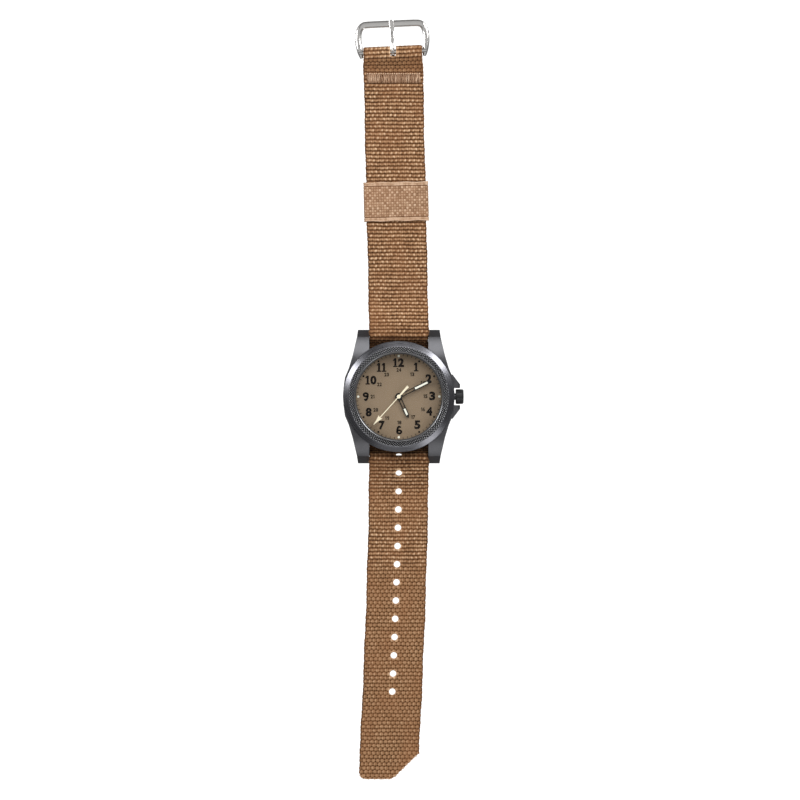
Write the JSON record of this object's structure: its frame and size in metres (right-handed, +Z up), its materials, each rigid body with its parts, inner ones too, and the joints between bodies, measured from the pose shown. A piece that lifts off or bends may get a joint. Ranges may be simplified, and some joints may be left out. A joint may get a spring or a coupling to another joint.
{
  "type": "wristwatch",
  "caption": "Analogue field wristwatch: round steel case with a knurled bezel ring, arabic dial and three hands, on a pull-through woven strap with a pin buckle.",
  "frame": {"origin": "on the surface the watch lies on, under the point the hands turn about", "axes": "+Z up through the dial, +Y to 12 o'clock and the buckle end of the strap, +X to the crown"},
  "size_m": [0.0455, 0.2876, 0.0124],
  "materials": {
    "case_steel": "brushed dark grey",
    "bezel_steel": "brushed dark grey, knurled inner ring",
    "crystal": "polished",
    "gasket": "matt",
    "flange": "matt khaki",
    "dial": "matt khaki print",
    "lume": "luminous paint",
    "hand_black": "semi-gloss black",
    "hand_cream": "cream paint",
    "wheel_brass": "machined",
    "white_acetal": "moulded",
    "magnet": "sintered",
    "soft_iron": "stamped",
    "coil_wire": "enamelled winding",
    "board": "green board",
    "cell": "nickel plated",
    "movement_nickel": "nickel plated",
    "screw_steel": "blued",
    "bright_steel": "turned",
    "crown_black": "black coated",
    "back_steel": "brushed",
    "webbing": "ribbed woven nylon",
    "webbing_keeper": "fine woven nylon",
    "thread": "bonded thread",
    "buckle_steel": "satin"
  },
  "bodies": {
    "case": {"case_middle": "case_steel", "crown_tube": "case_steel", "bezel": "bezel_steel", "crystal": "crystal", "crystal_gasket": "gasket", "dial_flange": "flange", "dial": "dial", "hour_pips": "lume", "stator": "soft_iron", "coil": "coil_wire", "circuit_board": "board", "battery": "cell", "main_plate": "movement_nickel", "train_bridge": "movement_nickel", "movement_screws": "screw_steel", "movement_holder": "white_acetal", "case_back": "back_steel", "case_back_gasket": "gasket", "spring_bar_tubes": "bright_steel", "spring_bar_springs": "bright_steel", "strap_centre": "webbing"},
    "second_hand": {"second_hand": "hand_cream", "seconds_wheel": "wheel_brass"},
    "minute_hand": {"minute_hand": "hand_black", "minute_hand_lume": "lume", "centre_wheel": "wheel_brass"},
    "hour_hand": {"hour_hand": "hand_black", "hour_hand_lume": "lume", "hour_wheel": "wheel_brass"},
    "minute_wheel": {"minute_wheel": "wheel_brass"},
    "third_wheel": {"third_wheel": "wheel_brass"},
    "step_wheel": {"step_wheel": "white_acetal"},
    "rotor": {"rotor": "magnet"},
    "crown_seal": {"crown_gasket": "gasket"},
    "crown": {"crown": "crown_black", "stem": "bright_steel"},
    "setting_lever": {"setting_lever": "movement_nickel"},
    "yoke": {"yoke": "movement_nickel"},
    "clutch_wheel": {"clutch_wheel": "bright_steel"},
    "plunger_12_crown_side": {"plunger_12_crown_side": "bright_steel"},
    "plunger_12_far_side": {"plunger_12_far_side": "bright_steel"},
    "plunger_6_crown_side": {"plunger_6_crown_side": "bright_steel"},
    "plunger_6_far_side": {"plunger_6_far_side": "bright_steel"},
    "keeper": {"keeper": "webbing_keeper"},
    "buckle_frame": {"buckle_frame": "buckle_steel", "buckle_bar": "buckle_steel"},
    "buckle_tongue": {"buckle_tongue": "buckle_steel"},
    "strap_buckle_1": {"strap_buckle_1": "webbing"},
    "strap_tail_1": {"strap_tail_1": "webbing"},
    "strap_buckle_2": {"strap_buckle_2": "webbing"},
    "strap_tail_2": {"strap_tail_2": "webbing"},
    "strap_buckle_3": {"strap_buckle_3": "webbing"},
    "strap_tail_3": {"strap_tail_3": "webbing"},
    "strap_buckle_4": {"strap_buckle_4": "webbing"},
    "strap_tail_4": {"strap_tail_4": "webbing"},
    "strap_buckle_5": {"strap_buckle_5": "webbing"},
    "strap_tail_5": {"strap_tail_5": "webbing"},
    "strap_buckle_6": {"strap_buckle_6": "webbing", "fold_stitching": "thread"},
    "strap_tail_6": {"strap_tail_6": "webbing"}
  },
  "joints": [
    {"name": "second_hand_turn", "type": "hinge", "parent": "case", "child": "second_hand", "pos_m": [0, 0, 0.009], "axis": [0, 0, -1], "continuous": true},
    {"name": "minute_hand_turn", "type": "hinge", "parent": "case", "child": "minute_hand", "pos_m": [0, 0, 0.0085], "axis": [0, 0, -1], "continuous": true},
    {"name": "hour_hand_turn", "type": "hinge", "parent": "case", "child": "hour_hand", "pos_m": [0, 0, 0.008], "axis": [0, 0, -1], "continuous": true},
    {"name": "minute_wheel_turn", "type": "hinge", "parent": "case", "child": "minute_wheel", "pos_m": [0.00361, -0.00131, 0.0063], "axis": [0, 0, -1], "continuous": true},
    {"name": "third_wheel_turn", "type": "hinge", "parent": "case", "child": "third_wheel", "pos_m": [0.00162, 0.00281, 0.0042], "axis": [0, 0, -1], "continuous": true},
    {"name": "step_wheel_turn", "type": "hinge", "parent": "case", "child": "step_wheel", "pos_m": [-0.00291, 0.00168, 0.0043], "axis": [0, 0, -1], "continuous": true},
    {"name": "rotor_turn", "type": "hinge", "parent": "case", "child": "rotor", "pos_m": [-0.00521, 0.00084, 0.004], "axis": [0, 0, -1], "continuous": true},
    {"name": "crown_pull", "type": "slide", "parent": "case", "child": "crown_seal", "axis": [1, 0, 0], "range_m": [0, 0.001]},
    {"name": "crown_turn", "type": "hinge", "parent": "crown_seal", "child": "crown", "pos_m": [0.022, 0, 0.00545], "axis": [1, 0, 0], "continuous": true},
    {"name": "setting_lever_turn", "type": "hinge", "parent": "case", "child": "setting_lever", "pos_m": [0.0106, 0.0033, 0.0062], "axis": [0, 0, 1], "range_deg": [0, 17.3]},
    {"name": "yoke_turn", "type": "hinge", "parent": "case", "child": "yoke", "pos_m": [0.0086, -0.0036, 0.0064], "axis": [0, 0, 1], "range_deg": [0, 9.55]},
    {"name": "clutch_slide", "type": "slide", "parent": "case", "child": "clutch_wheel", "axis": [1, 0, 0], "range_m": [-0.0006, 0]},
    {"name": "plunger_12_crown_side_push", "type": "slide", "parent": "case", "child": "plunger_12_crown_side", "axis": [1, 0, 0], "range_m": [-0.0009, 0], "stiffness_N_per_m": 300, "deforming": ["spring_bar_springs"]},
    {"name": "plunger_12_far_side_push", "type": "slide", "parent": "case", "child": "plunger_12_far_side", "axis": [-1, 0, 0], "range_m": [-0.0009, 0], "stiffness_N_per_m": 300, "deforming": ["spring_bar_springs"]},
    {"name": "plunger_6_crown_side_push", "type": "slide", "parent": "case", "child": "plunger_6_crown_side", "axis": [1, 0, 0], "range_m": [-0.0009, 0], "stiffness_N_per_m": 300, "deforming": ["spring_bar_springs"]},
    {"name": "plunger_6_far_side_push", "type": "slide", "parent": "case", "child": "plunger_6_far_side", "axis": [-1, 0, 0], "range_m": [-0.0009, 0], "stiffness_N_per_m": 300, "deforming": ["spring_bar_springs"]},
    {"name": "buckle_side_curl", "type": "hinge", "parent": "case", "child": "strap_buckle_1", "pos_m": [0, 0.023, 0.0036], "axis": [-1, 0, 0], "range_deg": [0, 55]},
    {"name": "buckle_side_bend_2", "type": "hinge", "parent": "strap_buckle_1", "child": "strap_buckle_2", "pos_m": [0, 0.0385, 0.0006], "axis": [-1, 0, 0], "range_deg": [0, 25]},
    {"name": "buckle_side_bend_3", "type": "hinge", "parent": "strap_buckle_2", "child": "strap_buckle_3", "pos_m": [0, 0.051, 0.00093], "axis": [-1, 0, 0], "range_deg": [0, 15]},
    {"name": "buckle_side_bend_4", "type": "hinge", "parent": "strap_buckle_3", "child": "strap_buckle_4", "pos_m": [0, 0.0635, 0.00125], "axis": [-1, 0, 0], "range_deg": [0, 40]},
    {"name": "buckle_side_bend_5", "type": "hinge", "parent": "strap_buckle_4", "child": "strap_buckle_5", "pos_m": [0, 0.084, 0.00125], "axis": [-1, 0, 0], "range_deg": [0, 40]},
    {"name": "buckle_side_bend_6", "type": "hinge", "parent": "strap_buckle_5", "child": "strap_buckle_6", "pos_m": [0, 0.101, 0.00125], "axis": [-1, 0, 0], "range_deg": [0, 40]},
    {"name": "tail_side_curl", "type": "hinge", "parent": "case", "child": "strap_tail_1", "pos_m": [0, -0.023, 0.0036], "axis": [1, 0, 0], "range_deg": [0, 30]},
    {"name": "tail_side_bend_2", "type": "hinge", "parent": "strap_tail_1", "child": "strap_tail_2", "pos_m": [0, -0.03912, 0.0006], "axis": [1, 0, 0], "range_deg": [0, 35]},
    {"name": "tail_side_bend_3", "type": "hinge", "parent": "strap_tail_2", "child": "strap_tail_3", "pos_m": [0, -0.05977, 0.0006], "axis": [1, 0, 0], "range_deg": [0, 35]},
    {"name": "tail_side_bend_4", "type": "hinge", "parent": "strap_tail_3", "child": "strap_tail_4", "pos_m": [0, -0.08042, 0.0006], "axis": [1, 0, 0], "range_deg": [0, 35]},
    {"name": "tail_side_bend_5", "type": "hinge", "parent": "strap_tail_4", "child": "strap_tail_5", "pos_m": [0, -0.10107, 0.0006], "axis": [1, 0, 0], "range_deg": [0, 35]},
    {"name": "tail_side_bend_6", "type": "hinge", "parent": "strap_tail_5", "child": "strap_tail_6", "pos_m": [0, -0.12172, 0.0006], "axis": [1, 0, 0], "range_deg": [0, 20]},
    {"name": "keeper_slide", "type": "slide", "parent": "strap_buckle_4", "child": "keeper", "axis": [0.022, -0.9998, 0], "range_m": [-0.028, 0]},
    {"name": "buckle_frame_swing", "type": "hinge", "parent": "strap_buckle_6", "child": "buckle_frame", "pos_m": [-0.00225, 0.1301, 0.00228], "axis": [0.999, 0.0436, 0], "range_deg": [-60, 40]},
    {"name": "buckle_tongue_swing", "type": "hinge", "parent": "buckle_frame", "child": "buckle_tongue", "pos_m": [-0.00225, 0.1301, 0.00228], "axis": [0.999, 0.0436, 0], "range_deg": [0, 70]}
  ],
  "couplings": [
    {"joint": "minute_hand_turn", "follows": "second_hand_turn", "ratio": 0.016667},
    {"joint": "hour_hand_turn", "follows": "second_hand_turn", "ratio": 0.0013889},
    {"joint": "minute_wheel_turn", "follows": "second_hand_turn", "ratio": -0.0055556},
    {"joint": "third_wheel_turn", "follows": "second_hand_turn", "ratio": -0.13333},
    {"joint": "step_wheel_turn", "follows": "second_hand_turn", "ratio": -5},
    {"joint": "rotor_turn", "follows": "second_hand_turn", "ratio": 30},
    {"joint": "setting_lever_turn", "follows": "crown_pull", "rad_per_m": 301.77},
    {"joint": "yoke_turn", "follows": "crown_pull", "rad_per_m": 166.5},
    {"joint": "clutch_slide", "follows": "crown_pull", "ratio": -0.6},
    {"joint": "buckle_side_bend_2", "follows": "buckle_side_curl", "ratio": 0.45455},
    {"joint": "buckle_side_bend_3", "follows": "buckle_side_curl", "ratio": 0.27273},
    {"joint": "buckle_side_bend_4", "follows": "buckle_side_curl", "ratio": 0.72727},
    {"joint": "buckle_side_bend_5", "follows": "buckle_side_curl", "ratio": 0.72727},
    {"joint": "buckle_side_bend_6", "follows": "buckle_side_curl", "ratio": 0.72727},
    {"joint": "tail_side_bend_2", "follows": "tail_side_curl", "ratio": 1.1667},
    {"joint": "tail_side_bend_3", "follows": "tail_side_curl", "ratio": 1.1667},
    {"joint": "tail_side_bend_4", "follows": "tail_side_curl", "ratio": 1.1667},
    {"joint": "tail_side_bend_5", "follows": "tail_side_curl", "ratio": 1.1667},
    {"joint": "tail_side_bend_6", "follows": "tail_side_curl", "ratio": 0.66667}
  ]
}
